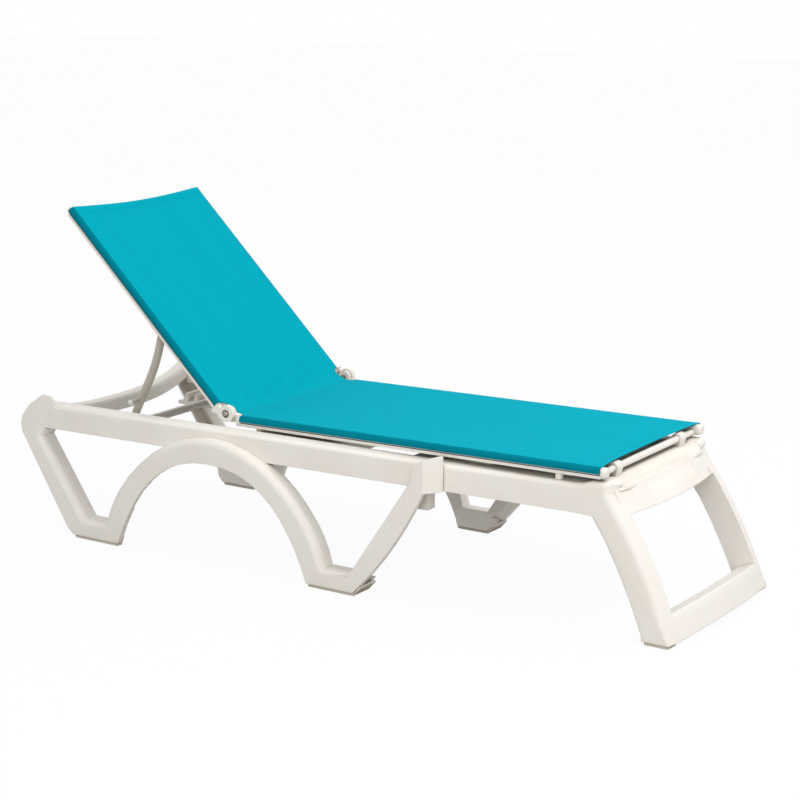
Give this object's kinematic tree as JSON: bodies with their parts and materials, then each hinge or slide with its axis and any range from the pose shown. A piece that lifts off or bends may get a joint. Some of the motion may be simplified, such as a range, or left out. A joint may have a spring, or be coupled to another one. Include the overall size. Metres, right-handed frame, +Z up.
{
  "type": "sling chaise lounge",
  "caption": "White moulded resin chaise lounge with turquoise sling seat and adjustable sling back on a prop bail.",
  "frame": {"origin": "on the floor under the middle of the lounge's bounding box", "axes": "+X towards the foot end, +Y to the sitter's left, +Z up"},
  "size_m": [1.9124, 0.7174, 0.8697],
  "materials": {
    "resin": "moulded ivory white resin, satin",
    "pads": "grey rubber",
    "sling": "turquoise woven vinyl-coated mesh",
    "spline": "dark plastic rod under the fabric",
    "white_hardware": "white powder coat",
    "prop_finish": "warm grey powder coat",
    "steel": "zinc plated"
  },
  "bodies": {
    "base": {"cross_member_1": "resin", "cross_member_2": "resin", "cross_member_3": "resin", "foot_frame": "resin", "foot_pad_end_left": "pads", "foot_pad_end_right": "pads", "foot_pad_head_left": "pads", "foot_pad_head_right": "pads", "foot_pad_strut_left": "pads", "foot_pad_strut_right": "pads", "head_beam": "resin", "hinge_bolt_left": "steel", "hinge_bolt_right": "steel", "hinge_nut_left": "steel", "hinge_nut_right": "steel", "prop_rack_left": "resin", "prop_rack_right": "resin", "rail_post_foot_left": "resin", "rail_post_foot_right": "resin", "rail_post_head_left": "resin", "rail_post_head_right": "resin", "seat_cross_tube_foot": "white_hardware", "seat_cross_tube_head": "white_hardware", "seat_end_cap_left": "white_hardware", "seat_end_cap_right": "white_hardware", "seat_knuckle_left": "white_hardware", "seat_knuckle_right": "white_hardware", "seat_rail_left": "white_hardware", "seat_rail_right": "white_hardware", "seat_spline_left": "spline", "seat_spline_right": "spline", "side_frame_left": "resin", "side_frame_right": "resin", "sling_seat": "sling", "tube_clip_left": "white_hardware", "tube_clip_right": "white_hardware"},
    "backrest": {"back_cross_tube_low": "white_hardware", "back_cross_tube_top": "white_hardware", "back_end_cap_left": "white_hardware", "back_end_cap_right": "white_hardware", "back_knuckle_left": "white_hardware", "back_knuckle_right": "white_hardware", "back_rail_left": "white_hardware", "back_rail_right": "white_hardware", "back_spline_left": "spline", "back_spline_right": "spline", "bail_bracket_left": "white_hardware", "bail_bracket_right": "white_hardware", "sling_back": "sling"},
    "bail": {"bail_pivot_pin_left": "steel", "bail_pivot_pin_right": "steel", "bail_stub_pin_left": "prop_finish", "bail_stub_pin_right": "prop_finish", "bail_tube": "prop_finish", "stub_pin_cap_left": "white_hardware", "stub_pin_cap_right": "white_hardware"}
  },
  "joints": [
    {"name": "back_hinge", "type": "hinge", "parent": "base", "child": "backrest", "pos_m": [-0.31618, 0, 0.381], "axis": [0, 1, 0], "range_deg": [-44, 0]},
    {"name": "bail_hinge", "type": "hinge", "parent": "backrest", "child": "bail", "pos_m": [-0.56545, 0, 0.56555], "axis": [0, 1, 0], "range_deg": [-63, 0]}
  ],
  "couplings": [
    {"joint": "bail_hinge", "follows": "back_hinge", "ratio": 1.43}
  ]
}
